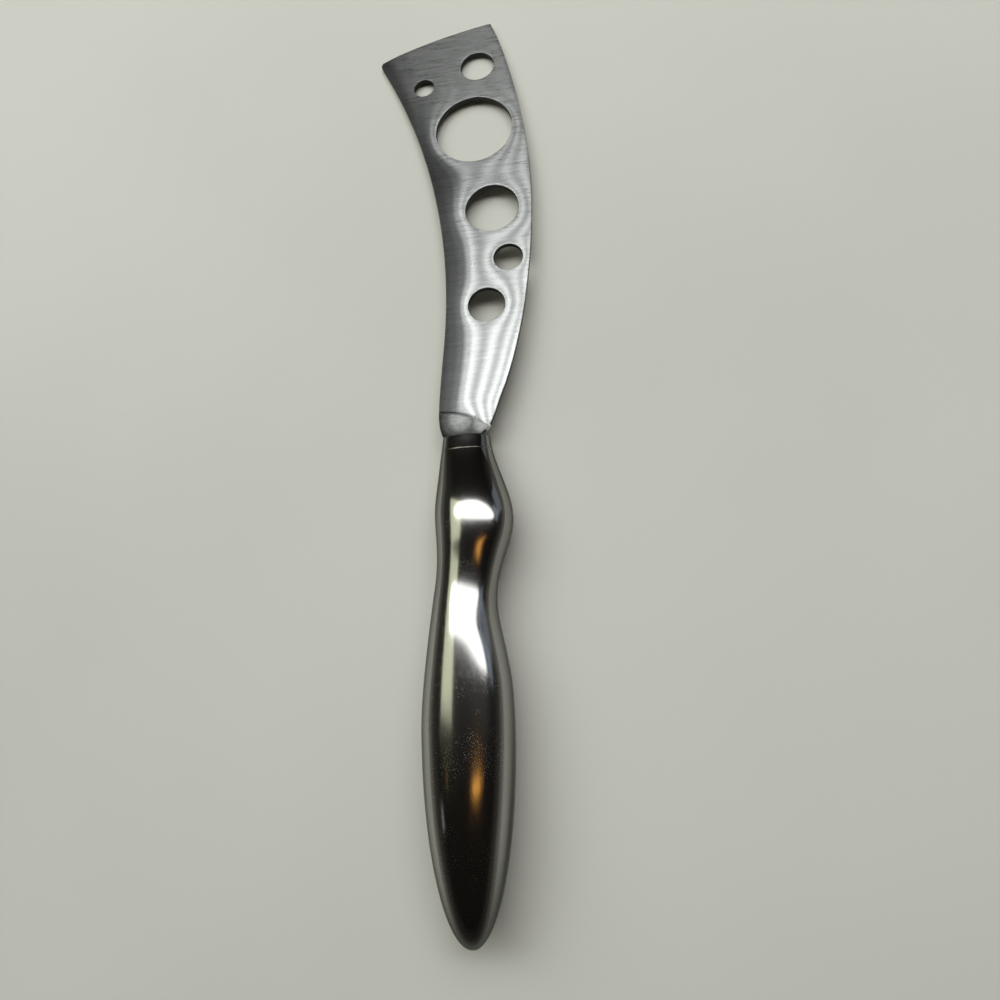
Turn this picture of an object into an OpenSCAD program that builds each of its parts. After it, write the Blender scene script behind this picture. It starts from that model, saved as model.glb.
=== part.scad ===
// Cheese knife with a wide holed blade and a hollow, polished handle.
// It lies as it does on a table, on the end of its blade and the belly of its handle.
// +Y runs from the handle to the tip, +Z is up, and the table is at zero height.
// Each piece is drawn flat, with the butt of the handle at zero, and laid down by rest().

/* [Blade] */
// Length of the blade from the collar to the high corner of its tip
blade_l = 134; // [100:1:180]
// Thickness of the ground part of the blade
blade_t = 1.5; // [1:0.1:1.8]
// Reach of the cutting edge to the right of the handle's axis
edge_reach = 20.5; // [18:0.5:28]
// Reach of the low corner of the tip to the left of the handle's axis
tip_reach = 24.2; // [20:0.2:30]
// Distance by which the low corner of the tip lies behind the high one
tip_drop = 8.8; // [4:0.2:14]
// Bow of the edge at the end of the tip
tip_bow = 1; // [0.2:0.1:2]
// Rounding of the low corner of the tip
tip_round = 1.6; // [0.5:0.1:3]

/* [Ricasso] */
// Thickness of the unground root of the blade and of its tang
ricasso_t = 1.9; // [1.8:0.1:3]
// Length of the unground root where it is longest
ricasso_l = 7; // [5:0.2:9]
// Radius of the curve where the grinding stops
plunge_r = 20; // [15:1:40]
// Width of the tang
tang_w = 7; // [4:0.5:8]
// Length of the tang behind the blade's shoulders
tang_l = 45; // [25:1:60]

/* [Holes] */
// Diameter of the hole by the high corner of the tip
tip_hole_d = 10; // [4:0.5:12]
// Diameter of the hole by the low corner of the tip
corner_hole_d = 6; // [3:0.5:8]
// Diameter of the largest hole, which can hang on a peg
peg_hole_d = 22.5; // [10:0.5:25]
// Diameter of the hole in the middle of the blade
middle_hole_d = 15; // [6:0.5:16]
// Diameter of the hole beside the cutting edge
edge_hole_d = 8; // [3:0.5:9]
// Diameter of the hole nearest the handle
root_hole_d = 10; // [4:0.5:12]
// Chamfer round each hole, on both faces
hole_chamfer = 0.2; // [0.1:0.05:0.4]

/* [Grip] */
// Length of the grip with its collar
grip_l = 116; // [100:1:140]
// Width of the grip at its lobe
grip_w = 21.8; // [20:0.2:26]
// Thickness of the grip at its lobe
grip_t = 18; // [15:0.2:20]
// Length of the round end of the grip, up to its fattest place
lobe_l = 46; // [34:1:48]
// Thickness of the two pressed shells
shell_wall = 0.8; // [0.5:0.1:1.2]
// Height of the weld between the two shells
seam_h = 0.3; // [0.1:0.1:0.6]
// Reach of the cement that holds the tang, behind the tang's end
cement_past = 7; // [2:1:12]
// Gap between pieces that fit inside one another
fit_gap = 0.05; // [0.02:0.01:0.1]

/* [Collar] */
// Length of the collar at the front of the grip
collar_l = 4; // [3:0.5:8]
// Width of the weld between the collar and the shells
collar_weld_l = 0.3; // [0.1:0.1:0.6]
// Length of the collar's spigot inside the shells
spigot_l = 6; // [3:0.5:10]

/* [Hidden] */

blade_grey = [0.68, 0.70, 0.71];
polished_grey = [0.80, 0.81, 0.82];
weld_grey = [0.55, 0.56, 0.57];
cement_cream = [0.78, 0.76, 0.70];

// Overrun of every cutting shape
cut_over = 1;
// Flat left at the very end of the grip, measured along it
butt_flat = 0.05;
// Rows along each shell, columns over each half section, and how the rows crowd to the butt
shell_rows = 40;
section_cols = 16;
row_pack_share = 0.15;
// Steps along each side of the blade's outline, along its tip and round the tip's corner
side_steps = 44;
tip_steps = 12;
round_steps = 5;
// Steps along the cement
cement_steps = 12;

// Cutting side of the blade: share of its length, share of the edge's reach
edge_shares = [[0, 0.2], [0.008, 0.243], [0.019, 0.32], [0.04, 0.392], [0.075, 0.473], [0.114, 0.572],
               [0.165, 0.675], [0.224, 0.772], [0.291, 0.857], [0.366, 0.925], [0.44, 0.972],
               [0.53, 1], [0.612, 0.99], [0.687, 0.951], [0.761, 0.888], [0.836, 0.802],
               [0.91, 0.695], [0.963, 0.6], [1, 0.517]];
// Back of the blade: share of its own length, share of the tip's reach
back_shares = [[0, 0.217], [0.025, 0.256], [0.055, 0.267], [0.11, 0.252], [0.18, 0.221],
               [0.25, 0.19], [0.335, 0.175], [0.42, 0.187], [0.5, 0.222], [0.58, 0.282],
               [0.66, 0.365], [0.74, 0.473], [0.82, 0.607], [0.91, 0.787], [1, 1]];
// Centres of the holes: share of the blade's length, share of the edge's reach
tip_hole_shares = [0.884, 0.3];
corner_hole_shares = [0.8455, -0.497];
peg_hole_shares = [0.7145, 0.228];
middle_hole_shares = [0.507, 0.449];
edge_hole_shares = [0.385, 0.646];
root_hole_shares = [0.281, 0.337];
// Highest place of the curve where the grinding stops, as a share of the edge's reach
plunge_share = -0.293;
// Sections of the grip: share of its length, then the reach to the left and to the right as
// shares of half the width, the share of the thickness, and how square the section is
grip_shares = [[0, 1, 0.975, 1.105, 2.2], [0.12, 1, 0.975, 1.105, 2.2],
               [0.2, 1, 0.975, 1.105, 2.2], [0.27, 1, 0.975, 1.057, 2.2],
               [0.34, 1, 0.975, 1.006, 2.2], [0.41, 1, 0.975, 0.97, 2.2],
               [0.48, 0.95, 0.94, 0.93, 2.2], [0.555, 0.865, 0.805, 0.85, 2.15],
               [0.605, 0.8, 0.7, 0.77, 2.1], [0.65, 0.735, 0.672, 0.705, 2.1],
               [0.69, 0.675, 0.74, 0.675, 2.1], [0.73, 0.65, 0.865, 0.717, 2.15],
               [0.775, 0.665, 1.04, 0.788, 2.2], [0.815, 0.695, 1.1, 0.785, 2.2],
               [0.85, 0.685, 1.06, 0.74, 2.2], [0.88, 0.645, 0.965, 0.665, 2.2],
               [0.91, 0.607, 0.86, 0.585, 2.2], [0.945, 0.565, 0.73, 0.498, 2.2],
               [0.97, 0.53, 0.66, 0.453, 2.25], [1, 0.487, 0.62, 0.415, 2.3]];

shell_l = grip_l - collar_l;
half_w = grip_w / 2;
half_t = grip_t / 2;
back_l = blade_l - tip_drop;

// Smooth curve through column k of a table whose first column rises
function span(table, s, i = 0) =
    i >= len(table) - 2 || s < table[i + 1][0] ? i : span(table, s, i + 1);
function grade(table, i, k) =
    let (a = max(i - 1, 0), b = min(i + 1, len(table) - 1))
    (table[b][k] - table[a][k]) / (table[b][0] - table[a][0]);
function curve(table, s, k) =
    let (i = span(table, s),
         run = table[i + 1][0] - table[i][0],
         u = (s - table[i][0]) / run,
         v = 1 - u)
    table[i][k] * (1 + 2 * u) * v * v
    + table[i + 1][k] * (3 - 2 * u) * u * u
    + grade(table, i, k) * run * u * v * v
    - grade(table, i + 1, k) * run * u * u * v;
function mix(p, q, s) = p * (1 - s) + q * s;
function bend(p, q, r, s) = mix(mix(p, q, s), mix(q, r, s), s);

// Outline of the blade: up its cutting side, back along the tip's end and down its back
function edge_point(s) = [edge_reach * curve(edge_shares, s, 1), grip_l + blade_l * s];
function back_point(s) = [-tip_reach * curve(back_shares, s, 1), grip_l + back_l * s];
high_corner = edge_point(1);
low_corner = back_point(1);
tip_line = low_corner - high_corner;
tip_out = [tip_line[1], -tip_line[0]] / norm(tip_line);
function tip_point(s) = high_corner + tip_line * s + tip_out * tip_bow * 4 * s * (1 - s);
tip_end = 1 - tip_round / norm(tip_line);
back_end = 1 - tip_round / back_l;
tip_points = [for (i = [1 : tip_steps]) tip_point(tip_end * i / tip_steps)];
blade_outline = concat(
    [for (i = [0 : side_steps]) edge_point(i / side_steps)],
    tip_points,
    [for (i = [1 : round_steps])
        bend(tip_point(tip_end), low_corner, back_point(back_end), i / round_steps)],
    [for (i = [1 : side_steps]) back_point(back_end * (1 - i / side_steps))]);

// Sections of the grip, drawn from right to left over the top
function lobe(y) =
    y < lobe_l ? sqrt(1 - pow(1 - (y + butt_flat) / (lobe_l + butt_flat), 2)) : 1;
function grip_value(y, k) = curve(grip_shares, y / grip_l, k);
function grip_left(y) = half_w * grip_value(y, 1) * lobe(y);
function grip_right(y) = half_w * grip_value(y, 2) * lobe(y);
function grip_height(y) = half_t * grip_value(y, 3) * lobe(y);
function half_section(y, inset) =
    let (r = grip_right(y) - inset,
         l = grip_left(y) - inset,
         rise = grip_height(y) - inset - seam_h / 2,
         e = 2 / grip_value(y, 4))
    [for (j = [0 : section_cols])
        let (a = 180 * j / section_cols, c = cos(a), h = max(sin(a), 0))
        [(r - l) / 2 + (r + l) / 2 * sign(c) * pow(abs(c), e), y, seam_h / 2 + rise * pow(h, e)]];
function full_section(y, inset) =
    let (top = half_section(y, inset))
    concat(top, [for (j = [section_cols : -1 : 0]) [top[j][0], y, -top[j][2]]]);
function row_y(i, from, to) =
    let (u = i / shell_rows)
    from + (to - from) * u * u * (1 + row_pack_share) / (u + row_pack_share);
outer_ys = [for (i = [0 : shell_rows]) row_y(i, 0, shell_l)];
inner_ys = [for (i = [0 : shell_rows]) row_y(i, 2 * shell_wall, shell_l)];

// Places where the knife lies on the table, and the tilt between them
lie_turn = atan2(high_corner[1] - low_corner[1], high_corner[0] - low_corner[0]);
function forward(p) = p[1] * cos(lie_turn) - p[0] * sin(lie_turn);
function sideways(p) = p[0] * cos(lie_turn) + p[1] * sin(lie_turn);
tip_forward = max([for (p = tip_points) forward(p)]);
lie_tilt = atan(max([for (y = outer_ys)
    let (x = (grip_right(y) - grip_left(y)) / 2)
    (grip_height(y) - blade_t / 2) / (tip_forward - forward([x, y]))]));
function laid(p, z) =
    let (f = forward(p) * cos(lie_tilt) + z * sin(lie_tilt), s = sideways(p))
    [s * cos(lie_turn) - f * sin(lie_turn), s * sin(lie_turn) + f * cos(lie_turn)];
reach_points = concat([for (p = blade_outline, z = [-blade_t / 2, blade_t / 2]) laid(p, z)],
                      [for (p = half_section(0, 0)) laid(p, 0)]);
mid_x = (min([for (p = reach_points) p[0]]) + max([for (p = reach_points) p[0]])) / 2;
mid_y = (min([for (p = reach_points) p[1]]) + max([for (p = reach_points) p[1]])) / 2;
lift = tip_forward * sin(lie_tilt) + blade_t / 2 * cos(lie_tilt);

// Lays a flat piece down on the table, with the middle of the knife's box over the origin
module rest() {
    translate([-mid_x, -mid_y, lift])
        rotate([0, 0, lie_turn])
            rotate([-lie_tilt, 0, 0])
                rotate([0, 0, -lie_turn])
                    children();
}

// Round hole through the blade, with its chamfers
module hole(shares, d) {
    translate([edge_reach * shares[1], grip_l + blade_l * shares[0], 0]) {
        cylinder(d = d, h = blade_t + 2 * cut_over, center = true, $fn = 96);
        for (side = [0, 1])
            mirror([0, 0, side])
                translate([0, 0, blade_t / 2 - hole_chamfer])
                    cylinder(r1 = d / 2, r2 = d / 2 + hole_chamfer + cut_over,
                             h = hole_chamfer + cut_over, $fn = 96);
    }
}

// Unground root of the blade, up to the curve where the grinding stops
module ricasso() {
    intersection() {
        linear_extrude(ricasso_t, center = true) polygon(blade_outline);
        translate([-edge_reach, grip_l, -ricasso_t])
            cube([2 * edge_reach, ricasso_l + cut_over, 2 * ricasso_t]);
        translate([edge_reach * plunge_share, grip_l + ricasso_l - plunge_r, 0])
            cylinder(r = plunge_r, h = ricasso_t + 2 * cut_over, center = true, $fn = 192);
    }
}

// Flat bar of the tang's section, from its end up to the place y, grown by a gap
module tang_bar(y, gap) {
    translate([-tang_w / 2 - gap, grip_l - tang_l - gap, -ricasso_t / 2 - gap])
        cube([tang_w + 2 * gap, y - grip_l + tang_l + gap, ricasso_t + 2 * gap]);
}

// Solid through full sections of the grip at the places ys, inset from its surface
module grip_body(ys, inset) {
    cols = 2 * section_cols + 2;
    rows = len(ys);
    sides = [for (i = [0 : rows - 2], j = [0 : cols - 1])
        let (a = i * cols + j, b = i * cols + (j + 1) % cols)
        each [[a, b + cols, a + cols], [a, b, b + cols]]];
    polyhedron(points = [for (y = ys) each full_section(y, inset)],
               faces = concat(sides,
                              [[for (j = [cols - 1 : -1 : 0]) j]],
                              [[for (j = [0 : cols - 1]) (rows - 1) * cols + j]]),
               convexity = 6);
}

// Pressed shell over the upper half of the grip, closed at the butt and open at the mouth
module shell() {
    cols = section_cols + 1;
    inner = cols * (shell_rows + 1);
    last = shell_rows * cols;
    outside = [for (i = [0 : shell_rows - 1], j = [0 : cols - 2])
        let (a = i * cols + j, b = a + 1)
        each [[a, b + cols, a + cols], [a, b, b + cols]]];
    inside = [for (i = [0 : shell_rows - 1], j = [0 : cols - 2])
        let (a = inner + i * cols + j, b = a + 1)
        each [[a, a + cols, b + cols], [a, b + cols, b]]];
    rims = [for (i = [0 : shell_rows - 1])
        let (a = i * cols, b = a + cols - 1)
        each [[a, inner + a + cols, inner + a], [a, a + cols, inner + a + cols],
              [b, inner + b + cols, b + cols], [b, inner + b, inner + b + cols]]];
    mouth = [for (j = [0 : cols - 2])
        let (a = last + j, b = a + 1)
        each [[a, inner + b, inner + a], [a, b, inner + b]]];
    butt = [[for (j = [cols - 1 : -1 : 0]) j],
            [for (j = [0 : cols - 1]) inner + j],
            [0, inner + cols - 1, cols - 1],
            [0, inner, inner + cols - 1]];
    polyhedron(points = concat([for (y = outer_ys) each half_section(y, 0)],
                               [for (y = inner_ys) each half_section(y, shell_wall)]),
               faces = concat(outside, inside, rims, mouth, butt),
               convexity = 6);
}

// Blade and tang, stamped in one piece and ground thinner in front of the ricasso
module blade() {
    color(blade_grey) rest() difference() {
        union() {
            linear_extrude(blade_t, center = true) polygon(blade_outline);
            ricasso();
            tang_bar(grip_l + ricasso_l / 2, 0);
        }
        hole(tip_hole_shares, tip_hole_d);
        hole(corner_hole_shares, corner_hole_d);
        hole(peg_hole_shares, peg_hole_d);
        hole(middle_hole_shares, middle_hole_d);
        hole(edge_hole_shares, edge_hole_d);
        hole(root_hole_shares, root_hole_d);
    }
}

// Polished collar that closes the mouth of the grip, with its spigot inside the shells
module neck_collar() {
    color(polished_grey) rest() difference() {
        union() {
            grip_body([shell_l + collar_weld_l, grip_l], 0);
            grip_body([shell_l - spigot_l, shell_l + collar_weld_l + fit_gap],
                      shell_wall + fit_gap);
        }
        tang_bar(grip_l + cut_over, fit_gap);
    }
}

// Weld round the joint of the collar and the shells
module collar_weld() {
    color(weld_grey) rest() difference() {
        grip_body([shell_l, shell_l + collar_weld_l], 0);
        grip_body([shell_l - cut_over, shell_l + collar_weld_l + cut_over], shell_wall);
    }
}

// Pressed shells of the grip, one the mirror of the other
module upper_shell() {
    color(polished_grey) rest() shell();
}
module lower_shell() {
    color(polished_grey) rest() mirror([0, 0, 1]) shell();
}

// Weld all along the parting line of the shells
module shell_weld() {
    color(weld_grey) rest()
        linear_extrude(seam_h, center = true)
            polygon(concat(
                [for (y = outer_ys) [grip_right(y), y]],
                [for (i = [shell_rows : -1 : 0]) [grip_right(inner_ys[i]) - shell_wall, inner_ys[i]]],
                [for (y = inner_ys) [shell_wall - grip_left(y), y]],
                [for (i = [shell_rows : -1 : 0]) [-grip_left(outer_ys[i]), outer_ys[i]]]));
}

// Cement that fills the front of the shells round the tang
module tang_cement() {
    back_y = grip_l - tang_l - cement_past;
    front_y = shell_l - spigot_l;
    cement_ys = [for (i = [0 : cement_steps]) back_y + (front_y - back_y) * i / cement_steps];
    color(cement_cream) rest() difference() {
        grip_body(cement_ys, shell_wall + fit_gap);
        tang_bar(grip_l, fit_gap);
    }
}

blade();
neck_collar();
collar_weld();
upper_shell();
lower_shell();
shell_weld();
tang_cement();
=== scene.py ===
"""Cheese knife: a brushed, holed blade in a polished, hollow steel handle.

Each piece is drawn in the knife's own flat plane, with the butt of the handle at zero and the
tip along +Y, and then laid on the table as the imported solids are.
"""
import math

import bmesh
import bpy
from mathutils import Matrix, Vector


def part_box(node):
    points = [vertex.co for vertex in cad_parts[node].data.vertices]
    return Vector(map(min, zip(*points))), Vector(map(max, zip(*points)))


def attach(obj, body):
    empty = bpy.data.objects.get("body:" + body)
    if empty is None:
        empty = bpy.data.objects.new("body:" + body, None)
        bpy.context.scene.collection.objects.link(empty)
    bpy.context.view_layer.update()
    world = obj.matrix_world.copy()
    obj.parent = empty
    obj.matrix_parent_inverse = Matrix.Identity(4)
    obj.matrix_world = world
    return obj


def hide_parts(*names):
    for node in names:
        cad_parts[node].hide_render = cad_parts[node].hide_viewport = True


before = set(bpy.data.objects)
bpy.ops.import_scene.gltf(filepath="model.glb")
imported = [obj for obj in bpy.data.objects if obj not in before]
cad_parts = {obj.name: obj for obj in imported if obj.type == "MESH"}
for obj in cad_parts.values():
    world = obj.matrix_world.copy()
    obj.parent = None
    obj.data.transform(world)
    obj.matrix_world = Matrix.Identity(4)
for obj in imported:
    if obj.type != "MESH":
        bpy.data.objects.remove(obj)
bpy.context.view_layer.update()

MM = 0.001

# Blade
BLADE_L = 134 * MM
BLADE_T = 1.5 * MM
EDGE_REACH = 20.5 * MM
TIP_REACH = 24.2 * MM
TIP_DROP = 8.8 * MM
TIP_BOW = 1 * MM
TIP_ROUND = 1.6 * MM
BACK_L = BLADE_L - TIP_DROP
RIM_ROUND = 0.22 * MM
EDGE_BEVEL_W = 1.0 * MM
EDGE_BEVEL_DROP = 0.14 * MM
BACK_BEVEL_W = 5.2 * MM
BACK_BEVEL_DROP = 0.3 * MM

# Unground root of the blade, and the tang
RICASSO_T = 1.9 * MM
RICASSO_L = 7 * MM
PLUNGE_R = 20 * MM
PLUNGE_RUN = 0.6 * MM
TANG_W = 7 * MM
TANG_L = 45 * MM

# Grip
GRIP_L = 116 * MM
GRIP_W = 21.8 * MM
GRIP_T = 18 * MM
LOBE_L = 46 * MM
BUTT_FLAT = 0.05 * MM
SHELL_WALL = 0.8 * MM
SEAM_H = 0.3 * MM
COLLAR_L = 4 * MM
COLLAR_WELD_L = 0.3 * MM
SPIGOT_L = 6 * MM
FIT_GAP = 0.05 * MM
COLLAR_ROUND = 0.35 * MM
SHELL_L = GRIP_L - COLLAR_L
# Reach over which polishing has softened each change in the grip's curves
POLISH_REACH = 3 * MM
POLISH_START = 6 * MM

# Cutting side of the blade: share of its length, share of the edge's reach
EDGE_SHARES = [[0, 0.2], [0.008, 0.243], [0.019, 0.32], [0.04, 0.392], [0.075, 0.473],
               [0.114, 0.572], [0.165, 0.675], [0.224, 0.772], [0.291, 0.857], [0.366, 0.925],
               [0.44, 0.972], [0.53, 1], [0.612, 0.99], [0.687, 0.951], [0.761, 0.888],
               [0.836, 0.802], [0.91, 0.695], [0.963, 0.6], [1, 0.517]]
# Back of the blade: share of its own length, share of the tip's reach
BACK_SHARES = [[0, 0.217], [0.025, 0.256], [0.055, 0.267], [0.11, 0.252], [0.18, 0.221],
               [0.25, 0.19], [0.335, 0.175], [0.42, 0.187], [0.5, 0.222], [0.58, 0.282],
               [0.66, 0.365], [0.74, 0.473], [0.82, 0.607], [0.91, 0.787], [1, 1]]
# Holes: diameter, share of the blade's length, share of the edge's reach
HOLES = {
    "tip": (10 * MM, 0.884, 0.3),
    "corner": (6 * MM, 0.8455, -0.497),
    "peg": (22.5 * MM, 0.7145, 0.228),
    "middle": (15 * MM, 0.507, 0.449),
    "edge": (8 * MM, 0.385, 0.646),
    "root": (10 * MM, 0.281, 0.337),
}
# Highest place of the curve where the grinding stops, as a share of the edge's reach
PLUNGE_SHARE = -0.293
# Sections of the grip: share of its length, then the reach to the left and to the right as
# shares of half the width, the share of the thickness, and how square the section is
GRIP_SHARES = [[0, 1, 0.975, 1.105, 2.2], [0.12, 1, 0.975, 1.105, 2.2],
               [0.2, 1, 0.975, 1.105, 2.2], [0.27, 1, 0.975, 1.057, 2.2],
               [0.34, 1, 0.975, 1.006, 2.2], [0.41, 1, 0.975, 0.97, 2.2],
               [0.48, 0.95, 0.94, 0.93, 2.2], [0.555, 0.865, 0.805, 0.85, 2.15],
               [0.605, 0.8, 0.7, 0.77, 2.1], [0.65, 0.735, 0.672, 0.705, 2.1],
               [0.69, 0.675, 0.74, 0.675, 2.1], [0.73, 0.65, 0.865, 0.717, 2.15],
               [0.775, 0.665, 1.04, 0.788, 2.2], [0.815, 0.695, 1.1, 0.785, 2.2],
               [0.85, 0.685, 1.06, 0.74, 2.2], [0.88, 0.645, 0.965, 0.665, 2.2],
               [0.91, 0.607, 0.86, 0.585, 2.2], [0.945, 0.565, 0.73, 0.498, 2.2],
               [0.97, 0.53, 0.66, 0.453, 2.25], [1, 0.487, 0.62, 0.415, 2.3]]


# Smooth curves through the tables of shares

def slope(table, i, k):
    low, high = max(i - 1, 0), min(i + 1, len(table) - 1)
    return (table[high][k] - table[low][k]) / (table[high][0] - table[low][0])


def curve(table, s, k):
    """Column k of the table at the share s."""
    i = 0
    while i < len(table) - 2 and s >= table[i + 1][0]:
        i += 1
    run = table[i + 1][0] - table[i][0]
    u = (s - table[i][0]) / run
    v = 1 - u
    return (table[i][k] * (1 + 2 * u) * v * v + table[i + 1][k] * (3 - 2 * u) * u * u
            + slope(table, i, k) * run * u * v * v - slope(table, i + 1, k) * run * u * u * v)


def ease(s):
    """Rises softly from 0 to 1."""
    s = min(max(s, 0), 1)
    return s * s * (3 - 2 * s)


def edge_x(s):
    return EDGE_REACH * curve(EDGE_SHARES, s, 1)


def back_x(s):
    return -TIP_REACH * curve(BACK_SHARES, s, 1)


def hole_centre(name):
    _, along, across = HOLES[name]
    return Vector((EDGE_REACH * across, GRIP_L + BLADE_L * along, 0))


# Sections of the grip

def lobe(y):
    """Rounding of the butt: 0 at its end and 1 from LOBE_L on."""
    if y >= LOBE_L:
        return 1
    return math.sqrt(max(0, 1 - (1 - (y + BUTT_FLAT) / (LOBE_L + BUTT_FLAT)) ** 2))


def raw_value(y, k):
    """Value k of the section at y, before the softening."""
    size = {1: GRIP_W / 2, 2: GRIP_W / 2, 3: GRIP_T / 2, 4: 1}[k]
    round_end = 1 if k == 4 else lobe(y)
    return size * curve(GRIP_SHARES, min(max(y, 0), GRIP_L) / GRIP_L, k) * round_end


def grip_value(y, k):
    """Reach to the left (1) or right (2), height (3) or squareness (4) of the section at y."""
    reach = min(POLISH_REACH, max(0, (y - POLISH_START) / 2), max(0, GRIP_L - y))
    weights = (1, 4, 6, 4, 1)
    taps = [raw_value(y + reach * (i - 2) / 2, k) for i in range(5)]
    return sum(w * tap for w, tap in zip(weights, taps)) / sum(weights)


def section_point(y, angle, inset=0):
    """Point of the section at y. The angle runs from 0 at the right to 180 degrees at the left."""
    right = grip_value(y, 2) - inset
    left = grip_value(y, 1) - inset
    rise = max(grip_value(y, 3) - inset - SEAM_H / 2, 0)
    power = 2 / grip_value(y, 4)
    c, s = math.cos(angle), max(math.sin(angle), 0)
    x = (right - left) / 2 + (right + left) / 2 * math.copysign(abs(c) ** power, c)
    return Vector((x, y, SEAM_H / 2 + rise * s ** power))


# How the knife lies on the table

TIP_STEPS = 48
GRIP_STEPS = 200
OUTLINE_STEPS = 88
high_corner = Vector((edge_x(1), GRIP_L + BLADE_L))
low_corner = Vector((back_x(1), GRIP_L + BACK_L))
tip_line = low_corner - high_corner
tip_out = Vector((tip_line.y, -tip_line.x)).normalized()
LIE_TURN = math.atan2(-tip_line.y, -tip_line.x)


def tip_point(s):
    """Point of the bowed end of the blade, at the share s from the edge to the back."""
    return high_corner + tip_line * s + tip_out * TIP_BOW * 4 * s * (1 - s)


def forward(x, y):
    """Distance along the line square to the blade's end."""
    return y * math.cos(LIE_TURN) - x * math.sin(LIE_TURN)


tip_forward = max(forward(*tip_point(i / TIP_STEPS)) for i in range(TIP_STEPS + 1))


def tilt_at(y):
    """Slope of the knife if it rested on the blade's end and on the grip at y."""
    middle = (grip_value(y, 2) - grip_value(y, 1)) / 2
    return (grip_value(y, 3) - BLADE_T / 2) / (tip_forward - forward(middle, y))


LIE_TILT = math.atan(max(tilt_at(SHELL_L * i / GRIP_STEPS) for i in range(GRIP_STEPS + 1)))
LIFT = tip_forward * math.sin(LIE_TILT) + BLADE_T / 2 * math.cos(LIE_TILT)
turn = Matrix.Rotation(LIE_TURN, 4, "Z")
tilt = turn @ Matrix.Rotation(-LIE_TILT, 4, "X") @ turn.inverted()
blade_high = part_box("blade")[1]
shell_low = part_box("upper_shell")[0]
shares = [i / OUTLINE_STEPS for i in range(OUTLINE_STEPS + 1)]
outline = ([(edge_x(s), GRIP_L + BLADE_L * s) for s in shares]
           + [(back_x(s), GRIP_L + BACK_L * s) for s in shares[:-1]])
laid = [tilt @ Vector((x, y, z)) for x, y in outline for z in (-BLADE_T / 2, BLADE_T / 2)]
MID_X = max(point.x for point in laid) - blade_high.x
MID_Y = (tilt @ Vector((0, 0, 0))).y - shell_low.y
REST = Matrix.Translation((-MID_X, -MID_Y, LIFT)) @ tilt


# Node helpers

def new_material(name):
    material = bpy.data.materials.new(name)
    material.use_nodes = True
    tree = material.node_tree
    return material, tree, tree.nodes["Principled BSDF"]


def add(tree, kind, **settings):
    node = tree.nodes.new(kind)
    for key, value in settings.items():
        setattr(node, key, value)
    return node


def put(tree, socket, value):
    """Links a socket, or sets a number or colour, into an input."""
    if isinstance(value, bpy.types.NodeSocket):
        tree.links.new(value, socket)
    else:
        socket.default_value = value


def sum_of(tree, kind, a, b=0.0, c=0.0, clamp=False):
    """Result of a math node."""
    node = add(tree, "ShaderNodeMath", operation=kind, use_clamp=clamp)
    for socket, value in zip(node.inputs, (a, b, c)):
        put(tree, socket, value)
    return node.outputs[0]


def noise(tree, place, scale, detail=2.0, roughness=0.5, stretch=(1, 1, 1), turned=(0, 0, 0)):
    """Noise of the place, scaled by stretch and turned by the angles."""
    mapping = add(tree, "ShaderNodeMapping")
    put(tree, mapping.inputs["Vector"], place)
    mapping.inputs["Scale"].default_value = stretch
    mapping.inputs["Rotation"].default_value = turned
    node = add(tree, "ShaderNodeTexNoise")
    put(tree, node.inputs["Vector"], mapping.outputs[0])
    node.inputs["Scale"].default_value = scale
    node.inputs["Detail"].default_value = detail
    node.inputs["Roughness"].default_value = roughness
    return node.outputs["Fac"]


def ramp(tree, value, stops):
    """Colour ramp of grey levels or colours: (place, level) for each stop."""
    node = add(tree, "ShaderNodeValToRGB")
    node.color_ramp.interpolation = "EASE"
    put(tree, node.inputs[0], value)
    elements = node.color_ramp.elements
    while len(elements) < len(stops):
        elements.new(0.5)
    for element, (place, level) in zip(elements, stops):
        element.position = place
        rgb = (level, level, level) if isinstance(level, (int, float)) else level
        element.color = (*rgb, 1)
    return node.outputs[0]


def bump(tree, height, distance, under=None):
    """Normal roughened by the height, over an earlier normal if there is one."""
    node = add(tree, "ShaderNodeBump")
    node.inputs["Distance"].default_value = distance
    put(tree, node.inputs["Height"], height)
    if under is not None:
        put(tree, node.inputs["Normal"], under)
    return node.outputs[0]


def blend(tree, share, a, b):
    """Goes from a to b as the share goes from 0 to 1."""
    node = add(tree, "ShaderNodeMix", data_type="FLOAT")
    for i, value in ((0, share), (2, a), (3, b)):
        put(tree, node.inputs[i], value)
    return node.outputs[0]


def fade(tree, distance, reach, start=1.0):
    """Falls from start as the distance grows, by 1 over the reach, and stays from 0 to 1."""
    return sum_of(tree, "SUBTRACT", start, sum_of(tree, "DIVIDE", distance, reach), clamp=True)


def tinted(tree, level, shares):
    """Colour made of a grey level, with its share for red, green and blue."""
    node = add(tree, "ShaderNodeCombineColor")
    for socket, share in zip(node.inputs, shares):
        put(tree, socket, sum_of(tree, "MULTIPLY", level, share))
    return node.outputs[0]


def mesh_mark(tree, name):
    """One of the marks that mark_blade leaves on the mesh."""
    return add(tree, "ShaderNodeAttribute", attribute_name=name).outputs["Fac"]


def object_place(tree):
    """Object coordinates, which are the frame's, since no piece is moved."""
    return add(tree, "ShaderNodeTexCoord").outputs["Object"]


def split(tree, place):
    """The x, y and z of a place."""
    node = add(tree, "ShaderNodeSeparateXYZ")
    put(tree, node.inputs[0], place)
    return node.outputs


def past_neck(tree, y):
    """Distance along the knife from the front of the collar, above 0 on the blade."""
    return sum_of(tree, "SUBTRACT", y, (REST @ Vector((0, GRIP_L, 0))).y)


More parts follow.
